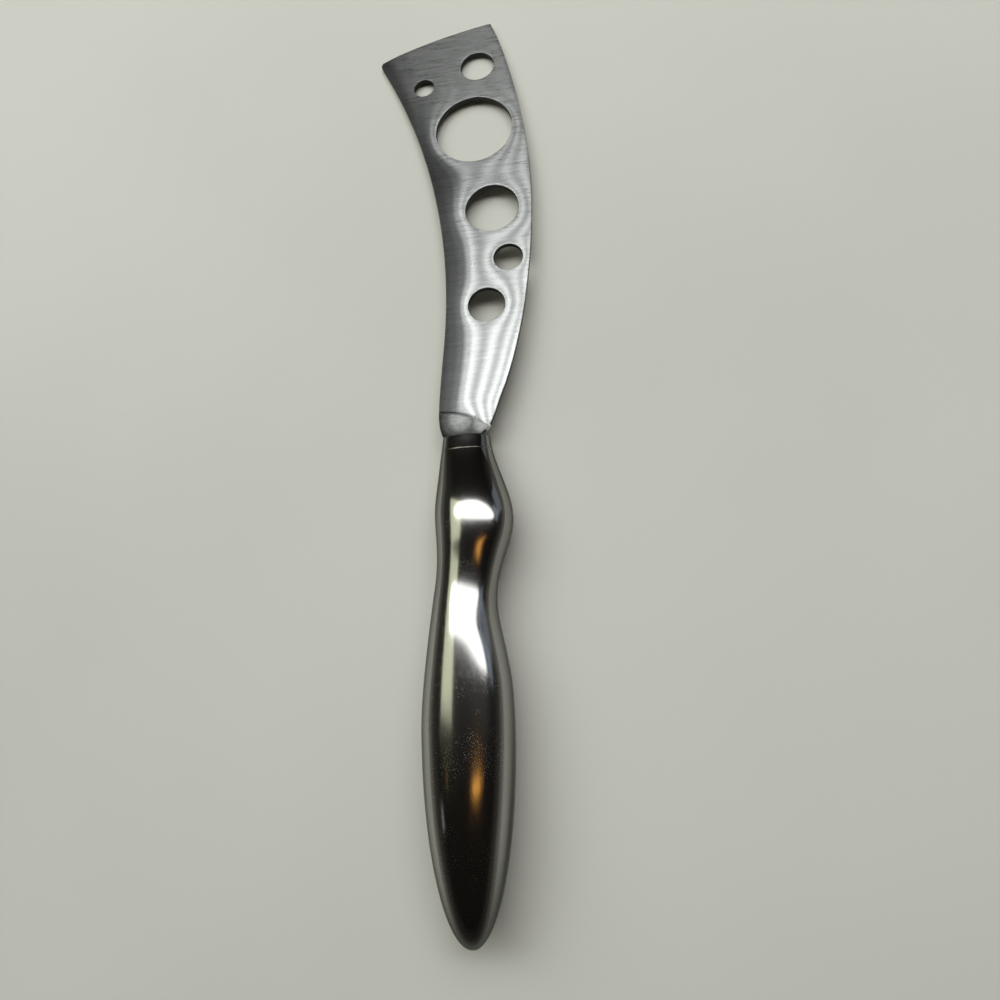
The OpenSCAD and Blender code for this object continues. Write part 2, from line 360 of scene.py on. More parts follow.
def off_plane(tree, place):
    """Distance to either side of the knife's own flat plane."""
    normal = REST.col[2].to_3d()
    node = add(tree, "ShaderNodeVectorMath", operation="DOT_PRODUCT")
    put(tree, node.inputs[0], place)
    node.inputs[1].default_value = normal
    height = sum_of(tree, "SUBTRACT", node.outputs["Value"], REST.translation.dot(normal))
    return sum_of(tree, "ABSOLUTE", height)


def distance_to(tree, x, y, middle):
    """Distance in x, and in all, from a place in the blade's plane."""
    dx = sum_of(tree, "SUBTRACT", x, middle.x)
    dy = sum_of(tree, "SUBTRACT", y, middle.y)
    far = sum_of(tree, "SQRT", sum_of(tree, "ADD", sum_of(tree, "MULTIPLY", dx, dx),
                                      sum_of(tree, "MULTIPLY", dy, dy)))
    return dx, far


# Polished steel. The scale of a noise counts its cells to a metre.

PIT_SCALE = 3000
PIT_PATCH_SCALE = 110
PIT_DEPTH = 0.004 * MM
# Hairline scratches: turn about the vertical, and scale
HAIRLINES = ((0.5, 1200), (-0.7, 1500), (1.35, 1100), (-1.2, 1300))
HAIRLINE_STRETCH = (5, 0.35, 5)
HAIRLINE_DEPTH = 0.001 * MM
WEAR_SCALE = 70
CLOUD_SCALE = 45
POLISH_LEVEL = 0.385
POLISH_CLOUD = 0.1
POLISH_TINT = (1.0, 1.0, 0.955)
GRAZING_TINT = (0.2, 0.2, 0.18, 1)
# Painted shade on the grip's sides and the collar's front face: its base level, and the height off the
# knife's plane that sets where the sides' shade fades
PAINTED_SHADE_LEVEL = 0.03
FLANK_H = 10 * MM


def pit_marks(tree, place):
    """Small round pits, gathered in patches."""
    cells = add(tree, "ShaderNodeTexVoronoi", feature="F1")
    put(tree, cells.inputs["Vector"], place)
    cells.inputs["Scale"].default_value = PIT_SCALE
    pits = ramp(tree, cells.outputs["Distance"], [(0.1, 1.0), (0.24, 0.0)])
    patches = ramp(tree, noise(tree, place, PIT_PATCH_SCALE, 4, 0.65), [(0.42, 0.0), (0.6, 1.0)])
    return sum_of(tree, "MULTIPLY", pits, patches)


def hairline_marks(tree, place):
    """Hairline scratches, more of them where the grip is worn."""
    lines = 0.0
    for angle, scale in HAIRLINES:
        fine = noise(tree, place, scale, 2, 0.6, HAIRLINE_STRETCH, (0, 0, angle))
        lines = sum_of(tree, "MAXIMUM", ramp(tree, fine, [(0.64, 0.0), (0.7, 1.0)]), lines)
    wear = ramp(tree, noise(tree, place, WEAR_SCALE, 3, 0.6), [(0.3, 0.3), (0.65, 0.8)])
    return sum_of(tree, "MULTIPLY", lines, wear)


def polished_steel():
    """Mirror polish, a little hazy, with small pits in patches and hairline scratches where it
    is held. The grip's sides, more towards the butt, carry painted shade for the shadowed table
    they mirror, and the collar's front face carries painted shade over what it mirrors."""
    material, tree, shader = new_material("polished_steel")
    place = object_place(tree)
    to_neck = past_neck(tree, split(tree, place)[1])
    down_grip = sum_of(tree, "DIVIDE", to_neck, -GRIP_L)
    held = ramp(tree, down_grip, [(0.1, 0.0), (0.22, 1.0)])
    pits = sum_of(tree, "MULTIPLY", pit_marks(tree, place), held)
    scratches = sum_of(tree, "MULTIPLY", hairline_marks(tree, place), held)

    # Painted shade: the grip's sides near the knife's plane, more towards the butt, and the collar's
    # front face get a darker base colour
    flank = sum_of(tree, "DIVIDE", off_plane(tree, place), FLANK_H)
    flank = ramp(tree, flank, [(0.25, 1.0), (0.65, 0.0)])
    flank = sum_of(tree, "MULTIPLY", flank, ramp(tree, down_grip, [(0.45, 0.45), (0.8, 0.78)]))
    front = sum_of(tree, "MULTIPLY_ADD", to_neck, 1 / (0.25 * MM), 1.4, clamp=True)
    painted_shade = sum_of(tree, "MAXIMUM", flank, sum_of(tree, "MULTIPLY", front, 0.85))
    cloud = noise(tree, place, CLOUD_SCALE, 4)
    level = sum_of(tree, "MULTIPLY_ADD", cloud, POLISH_CLOUD, POLISH_LEVEL)
    level = blend(tree, painted_shade, level, PAINTED_SHADE_LEVEL)
    put(tree, shader.inputs["Base Color"], tinted(tree, level, POLISH_TINT))

    rough = sum_of(tree, "MULTIPLY_ADD", cloud, 0.06, 0.055)
    for share, more in ((held, 0.05), (scratches, 0.07), (front, 0.4), (pits, 0.25)):
        rough = sum_of(tree, "MULTIPLY_ADD", share, more, rough)
    put(tree, shader.inputs["Roughness"], rough)
    shader.inputs["Metallic"].default_value = 1.0
    shader.inputs["Specular Tint"].default_value = GRAZING_TINT
    put(tree, shader.inputs["Coat Weight"], sum_of(tree, "MULTIPLY_ADD", held, 0.52, 0.2))
    shader.inputs["Coat Roughness"].default_value = 0.32
    shader.inputs["Coat IOR"].default_value = 1.4
    pitted = bump(tree, sum_of(tree, "MULTIPLY", pits, -1.0), PIT_DEPTH)
    put(tree, shader.inputs["Normal"], bump(tree, scratches, HAIRLINE_DEPTH, pitted))
    return material


# Welds and cement

WELD_GRAIN_SCALE = 1600
WELD_PATCH_SCALE = 260
CEMENT_GRAIN_SCALE = 900
STEEL_GRAIN_DEPTH = 0.01 * MM
CEMENT_GRAIN_DEPTH = 0.2 * MM


def weld_steel():
    """Weld metal, ground flush and duller than the steel beside it."""
    material, tree, shader = new_material("weld_steel")
    place = object_place(tree)
    grain = noise(tree, place, WELD_GRAIN_SCALE, 3)
    tone = sum_of(tree, "MULTIPLY", grain, noise(tree, place, WELD_PATCH_SCALE, 2))
    put(tree, shader.inputs["Base Color"],
        ramp(tree, tone, [(0.18, (0.10, 0.095, 0.085)), (0.36, (0.34, 0.32, 0.28))]))
    put(tree, shader.inputs["Roughness"], sum_of(tree, "MULTIPLY_ADD", grain, 0.2, 0.22))
    shader.inputs["Metallic"].default_value = 1.0
    put(tree, shader.inputs["Normal"], bump(tree, grain, STEEL_GRAIN_DEPTH))
    return material


def cement():
    """Set cement, pale and rough."""
    material, tree, shader = new_material("set_cement")
    grain = noise(tree, object_place(tree), CEMENT_GRAIN_SCALE, 5, 0.65)
    put(tree, shader.inputs["Base Color"],
        ramp(tree, grain, [(0.3, (0.5, 0.48, 0.42)), (0.7, (0.66, 0.64, 0.57))]))
    shader.inputs["Roughness"].default_value = 0.9
    put(tree, shader.inputs["Normal"], bump(tree, grain, CEMENT_GRAIN_DEPTH))
    return material


# Brushed steel of the blade

# Painted reflections: tones across the blade, from its back at 0 to its edge at 1, that stand for the
# window's light and the dark room mirrored by the brushed faces: near the root, past the middle of
# its length, and at the tip
ROOT_REFLECTION_STREAKS = [(0.0, 0.05), (0.16, 0.09), (0.27, 0.15), (0.36, 0.46), (0.43, 0.76), (0.54, 0.4),
                (0.655, 0.77), (0.745, 0.43), (0.84, 0.74), (0.905, 0.5), (0.97, 0.8)]
MIDDLE_REFLECTION_STREAKS = [(0.1, 0.055), (0.26, 0.09), (0.34, 0.16), (0.44, 0.6), (0.49, 0.45), (0.545, 0.74),
                  (0.6, 0.48), (0.67, 0.76), (0.74, 0.54), (0.82, 0.85), (0.9, 0.52), (0.96, 0.66)]
TIP_REFLECTION_TONES = [(0.0, 0.06), (0.08, 0.1), (0.2, 0.26), (0.32, 0.37), (0.6, 0.44), (0.8, 0.51),
             (0.95, 0.58)]
# Drift of the painted reflection streaks towards the back, by share of the blade's length, with
# DRIFT_NONE for none
DRIFTS = [(0.27, 0.04), (0.38, 0.11), (0.425, 0.09), (0.475, 0.0), (0.53, 0.025), (0.58, 0.04)]
DRIFT_NONE = 0.04
WANDER_SCALE = 60
WANDER = 0.08
# How fast a hole's pull on the painted reflection streaks falls off, and the width of the painted
# highlight round it
HOLE_PULL = 3.2
HALO_HIGHLIGHT_W = 0.9 * MM
HALO_HIGHLIGHT = 0.25
SWEEP_L = 7 * MM
SWEEP = 0.24
BRUSH_FINE = (330, 4600, 330)
BRUSH_COARSE = (110, 1300, 110)
TONE_MAX = 0.97
REFLECTION_STREAK_MAX = 0.95
# Painted shade on the cut walls; painted highlights on the rounded rims and in a pale line along the
# blade's foot at the collar
WALL_SHADE_TONE = 0.07
RIM_HIGHLIGHT_TONE = 0.8
FOOT_HIGHLIGHT_TONE = 0.6
# Soft lights on the root: mm to the right of the middle line, mm from the collar, reach in mm,
# and tone
ROOT_LIGHTS = ((-0.7, 5.0, 5.7, 1.0), (5.4, 3.7, 5.2, 1.1))
ROOT_TONE = 0.07
ROOT_GRAIN_SCALE = 750
BLADE_TINT = (0.96, 0.995, 0.98)
FLOOR_CLOUD_SCALE = 6


def bent_across(tree, x, y, past_plunge):
    """Place across the blade, 0 at its back and 1 at its edge, bent where the painted reflection
    streaks
    bend: round each hole, and towards the edge where the grinding stops. Also gives the painted
    highlight round the holes."""
    shift = 0.0
    halo_highlight = 0.0
    for name, (d, _, _) in HOLES.items():
        dx, far = distance_to(tree, x, y, REST @ hole_centre(name))
        near = sum_of(tree, "DIVIDE", d / 2, sum_of(tree, "MAXIMUM", far, d / 2))
        near = sum_of(tree, "POWER", near, HOLE_PULL)
        shift = sum_of(tree, "ADD", sum_of(tree, "MULTIPLY", dx, near), shift)
        # Painted highlight: a pale halo round each hole's rim
        ring = fade(tree, sum_of(tree, "SUBTRACT", far, d / 2), HALO_HIGHLIGHT_W)
        halo_highlight = sum_of(tree, "MAXIMUM", ring, halo_highlight)
    shift = sum_of(tree, "DIVIDE", shift, mesh_mark(tree, "width"))
    bent = sum_of(tree, "SUBTRACT", mesh_mark(tree, "across"), shift)
    sweep = fade(tree, past_plunge, SWEEP_L)
    sweep = sum_of(tree, "MULTIPLY", sum_of(tree, "MULTIPLY", sweep, sweep), SWEEP)
    sweep = sum_of(tree, "MULTIPLY", sweep, ramp(tree, bent, [(0.25, 0.0), (0.6, 1.0)]))
    return sum_of(tree, "SUBTRACT", bent, sweep), halo_highlight


def drifted(tree, place, bent, along):
    """The bent place, wandering a little and drifting along the blade."""
    wander = noise(tree, place, WANDER_SCALE, 2, 0.5, (1, 0.35, 1))
    bent = sum_of(tree, "ADD", bent, sum_of(tree, "MULTIPLY_ADD", wander, WANDER, -WANDER / 2))
    drift = sum_of(tree, "SUBTRACT", ramp(tree, along, DRIFTS), DRIFT_NONE)
    share = ramp(tree, bent, [(0.28, 0.0), (0.45, 0.85), (0.75, 1.0)])
    return sum_of(tree, "ADD", bent, sum_of(tree, "MULTIPLY", drift, share))


def ground_reflection_tone(tree, bent, halo_highlight, along, tip_share):
    """Painted reflections on the ground faces: streaks along the blade, a plainer tip, and a painted
    highlight round the holes.
    """
    past_middle = ramp(tree, along, [(0.46, 0.0), (0.63, 1.0)])
    # Painted reflections: streaks near the root and past the middle, giving way to the plainer tip
    tone = blend(tree, past_middle, ramp(tree, bent, ROOT_REFLECTION_STREAKS), ramp(tree, bent, MIDDLE_REFLECTION_STREAKS))
    tone = blend(tree, tip_share, tone, ramp(tree, bent, TIP_REFLECTION_TONES))
    # Painted highlight round the holes, weaker towards the tip
    level = sum_of(tree, "MULTIPLY_ADD", tip_share, -HALO_HIGHLIGHT, HALO_HIGHLIGHT)
    lift = sum_of(tree, "MULTIPLY", sum_of(tree, "MULTIPLY", halo_highlight, halo_highlight), level)
    return sum_of(tree, "MINIMUM", sum_of(tree, "ADD", tone, lift), REFLECTION_STREAK_MAX)


def root_tone(tree, place, x, y):
    """Tone of the matte, unground root, with its two soft lights."""
    lit = ROOT_TONE
    for right, up, reach, top in ROOT_LIGHTS:
        middle = REST @ Vector((right * MM, GRIP_L + up * MM, 0))
        away = sum_of(tree, "DIVIDE", distance_to(tree, x, y, middle)[1], reach * MM)
        spot = ramp(tree, away, [(0.0, top), (0.35, 0.75 * top), (0.7, 0.25 * top), (1.0, 0.07 * top)])
        lit = sum_of(tree, "MAXIMUM", spot, lit)
    stone = noise(tree, place, ROOT_GRAIN_SCALE, 3, 0.65, (1, 1.8, 1))
    tone = sum_of(tree, "MULTIPLY", lit, sum_of(tree, "MULTIPLY_ADD", stone, 1.0, 0.5))
    return sum_of(tree, "MINIMUM", tone, TONE_MAX)


def step_shade(tree, past_plunge, bent):
    """Darker line along the step where the grinding stops, fading out towards the edge."""
    line = sum_of(tree, "ABSOLUTE", sum_of(tree, "SUBTRACT", past_plunge, 0.45 * MM))
    line = fade(tree, line, 0.6 * MM)
    line = sum_of(tree, "MULTIPLY", line, ramp(tree, bent, [(0.35, 1.0), (0.75, 0.0)]))
    return sum_of(tree, "MULTIPLY_ADD", line, -0.6, 1.0)


def brushed_steel():
    """Blade steel, brushed across, with painted light in its base colour: reflections in soft streaks
    along the blade that bend round the holes, with a plainer tip, painted lights on the matte unground
    root, painted shade on the cut walls, and painted highlights on the rims and along the foot at the
    collar."""
    material, tree, shader = new_material("brushed_blade_steel")
    place = object_place(tree)
    x, y, _ = split(tree, place)
    from_neck = past_neck(tree, y)
    along = sum_of(tree, "DIVIDE", from_neck, BLADE_L)
    tip_share = ramp(tree, along, [(0.66, 0.0), (0.9, 1.0)])
    plunge = REST @ Vector((EDGE_REACH * PLUNGE_SHARE, GRIP_L + RICASSO_L - PLUNGE_R, 0))
    past_plunge = sum_of(tree, "SUBTRACT", distance_to(tree, x, y, plunge)[1], PLUNGE_R)
    bent, halo_highlight = bent_across(tree, x, y, past_plunge)
    bent = drifted(tree, place, bent, along)

    brush = sum_of(tree, "ADD",
                   sum_of(tree, "MULTIPLY", noise(tree, place, 1, 3, 0.7, BRUSH_FINE), 0.6),
                   sum_of(tree, "MULTIPLY", noise(tree, place, 1, 2, 0.5, BRUSH_COARSE), 0.4))
    tone = ground_reflection_tone(tree, bent, halo_highlight, along, tip_share)
    tone = sum_of(tree, "MULTIPLY", tone, sum_of(tree, "MULTIPLY_ADD", brush, 1.7, 0.36))
    tone = sum_of(tree, "MINIMUM", tone, TONE_MAX)
    unground = fade(tree, past_plunge, 0.8 * MM, 0.5)
    tone = blend(tree, unground, tone, root_tone(tree, place, x, y))
    tone = sum_of(tree, "MULTIPLY", tone, step_shade(tree, past_plunge, bent))
    # Painted highlight: a pale line along the blade's foot, where it meets the collar's front
    tone = blend(tree, fade(tree, from_neck, 0.3 * MM, 1.7), tone, FOOT_HIGHLIGHT_TONE)
    # Painted shade on the cut walls, then painted highlights on the rounded rims, weaker towards the
    # tip
    wall = mesh_mark(tree, "wall")
    tone = blend(tree, wall, tone, WALL_SHADE_TONE)
    rim = sum_of(tree, "MULTIPLY_ADD", tip_share, -0.5, 0.7)
    tone = blend(tree, sum_of(tree, "MULTIPLY", mesh_mark(tree, "rim"), rim), tone, RIM_HIGHLIGHT_TONE)
    put(tree, shader.inputs["Base Color"], tinted(tree, tone, BLADE_TINT))

    rough = sum_of(tree, "MULTIPLY_ADD", brush, 0.14, 0.215)
    rough = blend(tree, unground, rough, 0.5)
    put(tree, shader.inputs["Roughness"], blend(tree, wall, rough, 0.5))
    shader.inputs["Metallic"].default_value = 1.0
    shader.inputs["Anisotropic"].default_value = 0.85
    tangent = add(tree, "ShaderNodeTangent", direction_type="UV_MAP", uv_map="brushing")
    put(tree, shader.inputs["Tangent"], tangent.outputs[0])
    put(tree, shader.inputs["Normal"], bump(tree, brush, STEEL_GRAIN_DEPTH))
    return material


def floor_finish():
    """Plain pale table."""
    material, tree, shader = new_material("pale_floor")
    cloud = noise(tree, object_place(tree), FLOOR_CLOUD_SCALE, 3)
    put(tree, shader.inputs["Base Color"],
        ramp(tree, cloud, [(0.3, (0.475, 0.482, 0.432)), (0.7, (0.505, 0.512, 0.462))]))
    shader.inputs["Roughness"].default_value = 0.75
    return material


# Making pieces

MERGE = 0.002 * MM
BUTT_MERGE = 0.004 * MM
BUTT_CROWD = 0.15
SKIN_AROUND = 72
SKIN_ALONG = 200
SEAM_ALONG = 400
RING_COUNT = 120


def new_mesh(name, bm):
    """Mesh made from the bmesh, which is freed."""
    mesh = bpy.data.meshes.new(name)
    bm.to_mesh(mesh)
    bm.free()
    return mesh


def new_object(name, data):
    """Object in the scene that shows the data."""
    thing = bpy.data.objects.new(name, data)
    bpy.context.scene.collection.objects.link(thing)
    return thing


def finish_piece(name, bm, material, node, angle):
    """Turns a bmesh into a piece laid on the table, in the place of its CAD node. Edges sharper
    than the angle stay sharp."""
    bm.transform(REST)
    mesh = new_mesh(name, bm)
    piece = new_object(name, mesh)
    mesh.materials.append(material)
    for face in mesh.polygons:
        face.use_smooth = True
    mesh.set_sharp_from_angle(angle=math.radians(angle))
    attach(piece, "root")
    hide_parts(node)
    return piece


def point_out(bm):
    """Merges doubled points and turns the faces of a closed body outward."""
    bmesh.ops.remove_doubles(bm, verts=bm.verts, dist=MERGE)
    bmesh.ops.recalc_face_normals(bm, faces=bm.faces)


def grid(bm, columns, rows, where):
    """A grid whose points are moved to where(u, v), with u and v from 0 to 1."""
    made = bmesh.ops.create_grid(bm, x_segments=columns, y_segments=rows, size=1)
    for vert in made["verts"]:
        vert.co = where((vert.co.x + 1) / 2, (vert.co.y + 1) / 2)


def shell_y(v):
    """Place along the shells for v from 0 to 1, crowded towards the round butt."""
    return SHELL_L * (v * v * (1 + BUTT_CROWD) / (v + BUTT_CROWD)) - BUTT_FLAT * (1 - v)


def thicken(bm, outward):
    """Turns an open skin's faces outward and gives it the shells' wall, inwards."""
    bmesh.ops.recalc_face_normals(bm, faces=bm.faces)
    outer = max(bm.faces, key=lambda face: face.calc_center_median().dot(outward))
    if outer.normal.dot(outward) < 0:
        bmesh.ops.reverse_faces(bm, faces=bm.faces)
    bmesh.ops.solidify(bm, geom=bm.faces[:], thickness=SHELL_WALL)


def shell(name, node, side):
    """Pressed half of the handle, on the upper side (1) or the lower one (-1)."""
    bm = bmesh.new()

    def where(u, v):
        point = section_point(shell_y(v), math.pi * u)
        return Vector((point.x, point.y, side * point.z))

    grid(bm, SKIN_AROUND, SKIN_ALONG, where)
    bmesh.ops.remove_doubles(bm, verts=bm.verts, dist=BUTT_MERGE)
    thicken(bm, Vector((0, 0, side)))
    finish_piece(name, bm, POLISHED, node, 40)


def seam_weld():
    """Weld along the parting line, round the butt from mouth to mouth."""
    bm = bmesh.new()

    def where(u, v):
        y = shell_y(abs(2 * u - 1))
        x = grip_value(y, 2) if u < 0.5 else -grip_value(y, 1)
        return Vector((x, y, SEAM_H * (v - 0.5)))

    grid(bm, SEAM_ALONG, 2, where)
    thicken(bm, Vector((1, 0, 0)))
    finish_piece("seam_weld", bm, WELD, "shell_weld", 40)


def ring_point(y, inset, share):
    """Point at a share of the way round the whole section of the grip at y."""
    angle = 2 * math.pi * share
    if angle <= math.pi:
        return section_point(y, angle, inset)
    point = section_point(y, 2 * math.pi - angle, inset)
    return Vector((point.x, point.y, -point.z))


def first_ring(bm, y, inset):
    """Closed section of the grip at y, as a ring of edges and vertices."""
    made = bmesh.ops.create_circle(bm, cap_ends=False, segments=RING_COUNT, radius=1)
    verts = list(made["verts"])
    for i, vert in enumerate(verts):
        vert.co = ring_point(y, inset, i / RING_COUNT)
    return list(bm.edges), verts


def next_ring(bm, edges, verts, y, inset):
    """Extrudes a ring to the section at y, and returns the new ring."""
    made = bmesh.ops.extrude_edge_only(bm, edges=edges)["geom"]
    fresh = {item for item in made if isinstance(item, bmesh.types.BMVert)}
    verts = [next(edge.other_vert(vert) for edge in vert.link_edges if edge.other_vert(vert) in fresh)
             for vert in verts]
    for i, vert in enumerate(verts):
        vert.co = ring_point(y, inset, i / RING_COUNT)
    return [item for item in made if isinstance(item, bmesh.types.BMEdge)], verts


def loft(bm, stations):
    """Closed body through whole sections: a list of (y, inset)."""
    edges, verts = first_ring(bm, *stations[0])
    bmesh.ops.contextual_create(bm, geom=edges)
    for y, inset in stations[1:]:
        edges, verts = next_ring(bm, edges, verts, y, inset)
    bmesh.ops.contextual_create(bm, geom=edges)
    point_out(bm)


def carve(base, cutter, operation):
    """The mesh of base with cutter taken away or joined on, as a new bmesh."""
    objects = [new_object(name, new_mesh(name, bm))
               for name, bm in (("base", base), ("cutter", cutter))]
    modifier = objects[0].modifiers.new("carve", "BOOLEAN")
    modifier.operation = operation
    modifier.solver = "EXACT"
    modifier.object = objects[1]
    graph = bpy.context.evaluated_depsgraph_get()
    result = bpy.data.meshes.new_from_object(objects[0].evaluated_get(graph))
    bm = bmesh.new()
    bm.from_mesh(result)
    meshes = [thing.data for thing in objects] + [result]
    for thing in objects:
        bpy.data.objects.remove(thing)
    for mesh in meshes:
        bpy.data.meshes.remove(mesh)
    return bm


def tang_bar(front, gap):
    """Straight tang up to y = front, larger by the gap on every side."""
    bm = bmesh.new()
    low = (-TANG_W / 2 - gap, GRIP_L - TANG_L - gap, -RICASSO_T / 2 - gap)
    high = (TANG_W / 2 + gap, front, RICASSO_T / 2 + gap)
    made = bmesh.ops.create_cube(bm, size=1)
    for vert in made["verts"]:
        vert.co = Vector([a + (b - a) * (c + 0.5) for a, b, c in zip(low, high, vert.co)])
    point_out(bm)
    return bm


# The collar

FRONT_STEPS = 6
COLLAR_STEPS = 8
WELD_STEPS = 4
WELD_RISE = 0.012 * MM


def neck_collar():
    """Collar in front of the shells, with a rounded front rim, a spigot and the tang's slot."""
    angles = [math.pi / 2 * i / FRONT_STEPS for i in range(1, FRONT_STEPS + 1)]
    front = [(GRIP_L - COLLAR_ROUND * (1 - math.sin(a)), COLLAR_ROUND * (1 - math.cos(a)))
             for a in angles]
    back = SHELL_L + COLLAR_WELD_L
    run = GRIP_L - COLLAR_ROUND - back
    outside = [(back + run * i / COLLAR_STEPS, 0) for i in range(COLLAR_STEPS + 1)]
    inside = SHELL_WALL + FIT_GAP
    spigot = [(SHELL_L - SPIGOT_L, inside), (back - 0.001 * MM, inside)]
    body = bmesh.new()
    loft(body, spigot + outside + front)
    bm = carve(body, tang_bar(GRIP_L + 1 * MM, FIT_GAP), "DIFFERENCE")
    finish_piece("collar", bm, POLISHED, "neck_collar", 35)


def collar_weld():
    """Thin ring between the collar and the shells, a little raised."""
    bm = bmesh.new()
    outer = [(SHELL_L + COLLAR_WELD_L * i / WELD_STEPS, -WELD_RISE * math.sin(math.pi * i / WELD_STEPS))
             for i in range(WELD_STEPS + 1)]
    inner = [(SHELL_L + COLLAR_WELD_L, SHELL_WALL), (SHELL_L, SHELL_WALL)]
    first, verts = first_ring(bm, *outer[0])
    edges = first
    for y, inset in outer[1:] + inner:
        edges, verts = next_ring(bm, edges, verts, y, inset)
    bmesh.ops.bridge_loops(bm, edges=edges + first)
    point_out(bm)
    finish_piece("collar_weld_ring", bm, WELD, "collar_weld", 40)


# The blade

FACE_ACROSS = 30
FACE_ROWS = 150
TIP_ROWS = 6
BEVEL_SOFT = 0.9 * MM
TIP_BOW_START = 0.8
HOLE_SIDES = 96
CUTTER_H = 2 * MM
PAD_INSET = 0.1 * MM
PAD_SINK = 0.05 * MM
PAD_ACROSS = 30
PAD_ALONG = 36


def side_places(width):
    """Distances from the back to the edge, crowded where the rims are rounded."""
    rim = [RIM_ROUND * (1 - math.cos(math.pi * i / 8)) for i in range(5)]
    knee = [EDGE_BEVEL_W * s for s in (0.5, 0.9, 1.0, 1.1)]
    low, high = rim[-1], width - knee[-1]
    middle = [low + (high - low) * i / FACE_ACROSS for i in range(1, FACE_ACROSS)]
    return rim + middle + [width - k for k in reversed(knee)] + [width - r for r in reversed(rim)]


def rim_drop(d):
    """How far a rounded rim lies below the flat, at the distance d from the outline."""
    if d >= RIM_ROUND:
        return 0
    return RIM_ROUND - math.sqrt(max(RIM_ROUND ** 2 - (RIM_ROUND - d) ** 2, 0))


def face_height(from_back, from_edge, from_tip):
    """Height of the ground face above the blade's middle plane."""
    knee = BACK_BEVEL_W - from_back
    fall = (knee + math.sqrt(knee * knee + BEVEL_SOFT * BEVEL_SOFT)) / 2
    height = BLADE_T / 2 - BACK_BEVEL_DROP * fall / BACK_BEVEL_W
    if from_edge < EDGE_BEVEL_W:
        height -= EDGE_BEVEL_DROP * (1 - from_edge / EDGE_BEVEL_W)
    return height - rim_drop(min(from_back, from_edge, from_tip))


def blade_half(bm, side):
    """One face of the blade, from the shoulders to the tip, with its rims rounded down."""
    round_share = TIP_ROUND / BACK_L
    levels = [(1 - round_share) * i / FACE_ROWS for i in range(FACE_ROWS + 1)]
    levels += [1 - round_share * (1 - math.sin(math.pi / 2 * i / TIP_ROWS))
               for i in range(1, TIP_ROWS + 1)]
    columns = len(side_places(1)) - 1
    rows = len(levels) - 1

    def where(u, v):
        s = levels[round(v * rows)]
        back = Vector((back_x(s), GRIP_L + BACK_L * s))
        edge = Vector((edge_x(s), GRIP_L + BLADE_L * s))
        past = (s - (1 - round_share)) / round_share
        if past > 0:
            drop = TIP_ROUND * (1 - math.sqrt(max(1 - past * past, 0)))
            back = back + (edge - back).normalized() * drop
        width = (edge - back).length
        d = side_places(width)[round(u * columns)]
        share = d / width
        point = back + (edge - back) * share
        bow = TIP_BOW * 4 * share * (1 - share) * ease((s - TIP_BOW_START) / (1 - TIP_BOW_START))
        point = point + tip_out * bow
        height = face_height(d, width - d, max(BACK_L * (1 - s), 0))
        return Vector((point.x, point.y, side * height))

    grid(bm, columns, rows, where)


def ground_plate():
    """The blade without its holes: two faces and the wall between them."""
    bm = bmesh.new()
    blade_half(bm, 1)
    blade_half(bm, -1)
    bmesh.ops.bridge_loops(bm, edges=[edge for edge in bm.edges if edge.is_boundary])
    point_out(bm)
    return bm


def hole_cutters():
    """Round cutters that flare at both faces, so that each hole gets a rounded rim."""
    bm = bmesh.new()
    for name, (d, _, _) in HOLES.items():
        profile = [(0.0, CUTTER_H), (d / 2 + RIM_ROUND, CUTTER_H)]
        for i in range(6):
            a = math.pi / 2 * i / 5
            profile.append((d / 2 + RIM_ROUND * (1 - math.sin(a)),
                            BLADE_T / 2 + 0.002 * MM - RIM_ROUND * (1 - math.cos(a))))
        profile = profile + [(r, -z) for r, z in reversed(profile)]
        middle = hole_centre(name)
        verts = [bm.verts.new((middle.x + r, middle.y, z)) for r, z in profile]
        edges = [bm.edges.new(pair) for pair in zip(verts, verts[1:])]
        bmesh.ops.spin(bm, geom=verts + edges, cent=middle, axis=(0, 0, 1), angle=2 * math.pi,
                       steps=HOLE_SIDES, use_merge=True)
    point_out(bm)
    return bm


def ricasso():
    """Unground root: a thicker pad behind the curve where the grinding stops."""
    bm = bmesh.new()
    centre = Vector((EDGE_REACH * PLUNGE_SHARE, GRIP_L + RICASSO_L - PLUNGE_R))
    reach = PLUNGE_R + PLUNGE_RUN
    low = BLADE_T / 2 - PAD_SINK

    for side in (1, -1):
        def where(u, v, side=side):
            # The outline's x hangs on y and the front's y on x, so both are found in turns
            y = GRIP_L
            for _ in range(4):
                left = back_x((y - GRIP_L) / BACK_L) + PAD_INSET
                right = edge_x((y - GRIP_L) / BLADE_L) - PAD_INSET
                x = left + (right - left) * u
                front = centre.y + math.sqrt(reach ** 2 - (x - centre.x) ** 2)
                y = GRIP_L + (front - GRIP_L) * v
            to_front = reach - math.hypot(x - centre.x, y - centre.y)
            rim = rim_drop(min(x - left, right - x) + 0.02 * MM)
            rise = ease(to_front / (2 * PLUNGE_RUN))
            return Vector((x, y, side * (low + (RICASSO_T / 2 - low) * rise - rim)))

        grid(bm, PAD_ACROSS, PAD_ALONG, where)
    bmesh.ops.bridge_loops(bm, edges=[edge for edge in bm.edges if edge.is_boundary])
    point_out(bm)
    return bm


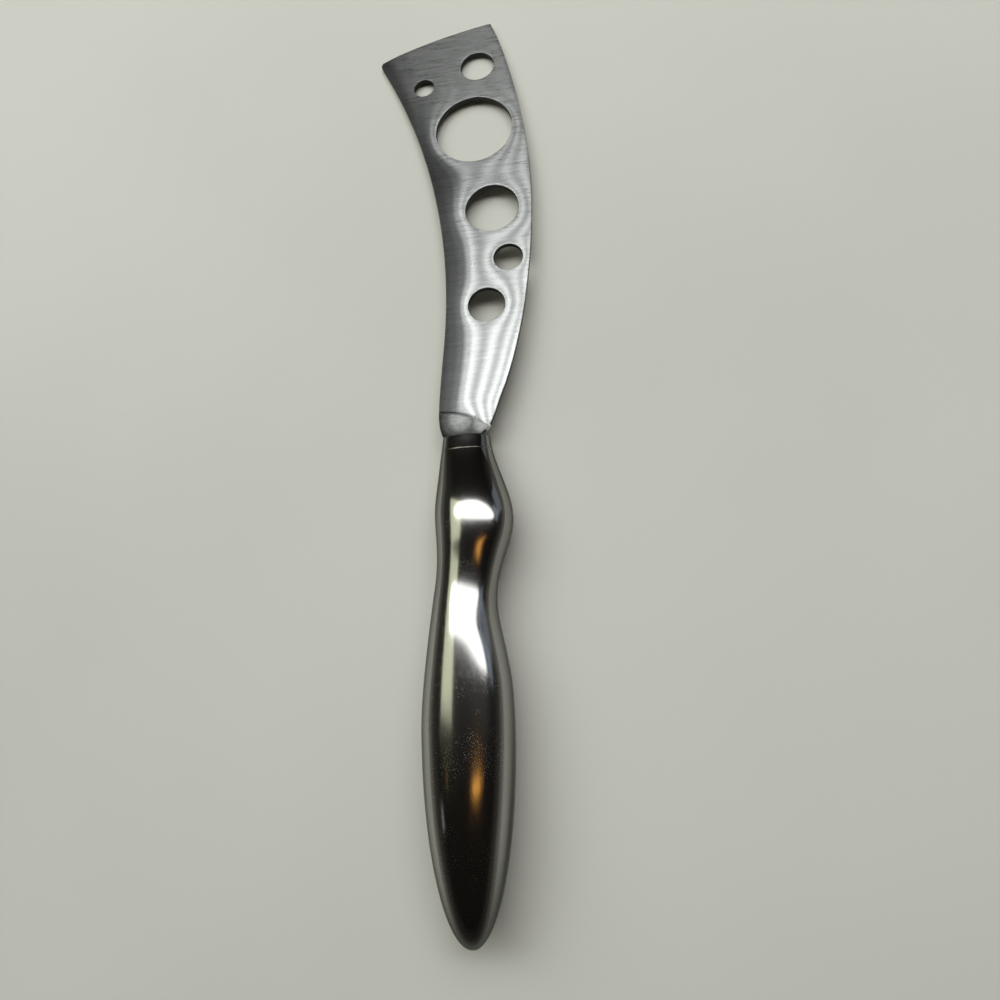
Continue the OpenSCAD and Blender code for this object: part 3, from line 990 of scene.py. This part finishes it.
def mark_blade(piece):
    """Marks for the finish and the light painted into it: place across the blade and its width,
    cut walls and rounded rims, and a UV map along the brushing."""
    mesh = piece.data
    flat = REST.inverted()
    turn_flat = flat.to_3x3()
    marks = {name: mesh.attributes.new(name, "FLOAT", "POINT").data
             for name in ("across", "width", "wall", "rim")}
    points = [flat @ vert.co for vert in mesh.vertices]
    for i, point in enumerate(points):
        y = max(point.y - GRIP_L, 0)
        left = back_x(min(y / BACK_L, 1))
        right = edge_x(min(y / BLADE_L, 1))
        marks["across"][i].value = (point.x - left) / (right - left)
        marks["width"][i].value = right - left
        level = abs((turn_flat @ mesh.vertices[i].normal).z)
        marks["wall"][i].value = min(max((0.6 - level) / 0.3, 0), 1)
        marks["rim"][i].value = min(max(1 - abs(level - 0.85) / 0.13, 0), 1)
    layer = mesh.uv_layers.new(name="brushing")
    for loop in mesh.loops:
        point = points[loop.vertex_index]
        layer.data[loop.index].uv = (point.y / BLADE_L, point.x / BLADE_L)


def blade():
    """The holed blade with its thicker root and its tang."""
    bm = carve(ground_plate(), hole_cutters(), "DIFFERENCE")
    bm = carve(bm, ricasso(), "UNION")
    bm = carve(bm, tang_bar(GRIP_L + RICASSO_L / 2, -0.02 * MM), "UNION")
    mark_blade(finish_piece("holed_blade", bm, BRUSHED, "blade", 28))


# Studio

FLOOR_REACH = 6
WORLD_X, WORLD_Y = (1, 0, 0), (0, 1, 0)
GRIP_MIDDLE = (0, -0.05, 0.008)
# Dim room: z of the direction, from 0 at the horizon to 1 overhead, and colour
ROOM_LEVELS = [(0.0, (0.26, 0.25, 0.22)), (0.12, (0.17, 0.16, 0.14)), (0.32, (0.045, 0.042, 0.036)),
               (0.6, (0.01, 0.0085, 0.007))]
# Camera in the knife's own frame, from the shapes that the round holes have in the photograph
LENS_MM = 27.18
SENSOR_MM = 36
CAMERA_PLACE = (35.22 * MM, 45.09 * MM, 177.255 * MM)
CAMERA_RIGHT = (0.98723, -0.03032, -0.15639)
CAMERA_AHEAD = (-0.14124, 0.28753, -0.94730)


def table():
    """Plain floor that the knife lies on."""
    bm = bmesh.new()
    bmesh.ops.create_grid(bm, x_segments=1, y_segments=1, size=FLOOR_REACH)
    floor = new_object("floor", new_mesh("floor", bm))
    floor.data.materials.append(floor_finish())


def panel(name, place, aim, across, size, level, colour=(1, 1, 1), shape="RECTANGLE", roll=0.0):
    """Soft light at a place, facing its aim, its first side along across."""
    light = bpy.data.lights.new(name, "AREA")
    light.shape = shape
    light.size, light.size_y = size
    light.energy = level * size[0] * size[1]
    light.color = colour
    lamp = new_object(name, light)
    back = (Vector(place) - Vector(aim)).normalized()
    side = (Vector(across) - back * back.dot(Vector(across))).normalized()
    axes = Matrix((side, back.cross(side), back)).transposed().to_4x4()
    lamp.matrix_world = Matrix.Translation(place) @ axes @ Matrix.Rotation(roll, 4, "Z")
    return lamp


def studio():
    """Lamps that the handle mirrors, one that it doesn't, and the dim room."""
    panel("window_panel", (0.04, 0.55, 1.2), (0.04, 0.55, 0), WORLD_X, (2.18, 0.38), 8.2,
          shape="ELLIPSE", roll=-0.09)
    panel("cool_panel", (1.35, 0.54, 1.1), (1.35, 0.54, 0), WORLD_X, (0.8, 0.42), 1.2,
          (0.7, 0.8, 1.0), roll=-0.1)
    panel("wall_panel", (1.4, 0.95, 0.8), (0, 0, 0), (1, -1, 0), (0.9, 0.62), 0.8,
          (0.75, 0.85, 1.0))
    panel("side_panel", (-0.79, 0.4, 1.04), (0, 0, 0), WORLD_Y, (0.64, 0.58), 3.6,
          (0.97, 1.0, 0.74))
    panel("warm_lamp", (0.29, -0.15, 1.2), GRIP_MIDDLE, WORLD_X, (0.38, 0.05), 4.4,
          (1.0, 0.5, 0.1), shape="ELLIPSE")
    panel("warm_shade", (0.32, -0.15, 1.205), GRIP_MIDDLE, WORLD_X, (0.66, 0.11), 1.2,
          (1.0, 0.42, 0.08), shape="ELLIPSE")
    panel("far_lamp", (-0.94, -0.13, 1.2), GRIP_MIDDLE, WORLD_X, (0.14, 0.07), 0.5,
          (1.0, 0.6, 0.15), shape="ELLIPSE")
    panel("left_strip", (-0.841, 0.009, 0.715), GRIP_MIDDLE, WORLD_Y, (0.09, 0.16), 0.2)
    panel("low_strip", (-0.866, -0.298, 0.639), GRIP_MIDDLE, WORLD_Y, (0.12, 0.11), 1.0)
    soft = panel("soft_panel", (-0.25, 0.75, 1.15), (0, 0, 0), WORLD_X, (2.6, 1.2), 9.0)
    soft.visible_glossy = False
    world = bpy.data.worlds.new("studio")
    bpy.context.scene.world = world
    world.use_nodes = True
    tree = world.node_tree
    rise = split(tree, add(tree, "ShaderNodeTexCoord").outputs["Generated"])[2]
    room = tree.nodes["Background"]
    put(tree, room.inputs[0], ramp(tree, rise, ROOM_LEVELS))
    room.inputs[1].default_value = 1.0


def camera():
    """Camera at the photograph's place."""
    data = bpy.data.cameras.new("camera")
    data.sensor_width = SENSOR_MM
    data.lens = LENS_MM
    data.clip_start = 0.01
    data.clip_end = 50
    eye = new_object("camera", data)
    ahead = Vector(CAMERA_AHEAD).normalized()
    up = Vector(CAMERA_RIGHT).cross(ahead).normalized()
    axes = Matrix((ahead.cross(up), up, -ahead)).transposed().to_4x4()
    eye.matrix_world = REST @ Matrix.Translation(CAMERA_PLACE) @ axes
    bpy.context.scene.camera = eye


POLISHED = polished_steel()
WELD = weld_steel()
BRUSHED = brushed_steel()

camera()
blade()
neck_collar()
collar_weld()
shell("upper_grip_shell", "upper_shell", 1)
shell("lower_grip_shell", "lower_shell", -1)
seam_weld()
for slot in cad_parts["tang_cement"].material_slots:
    slot.material = cement()
table()
studio()
bpy.context.scene.view_settings.view_transform = "Standard"
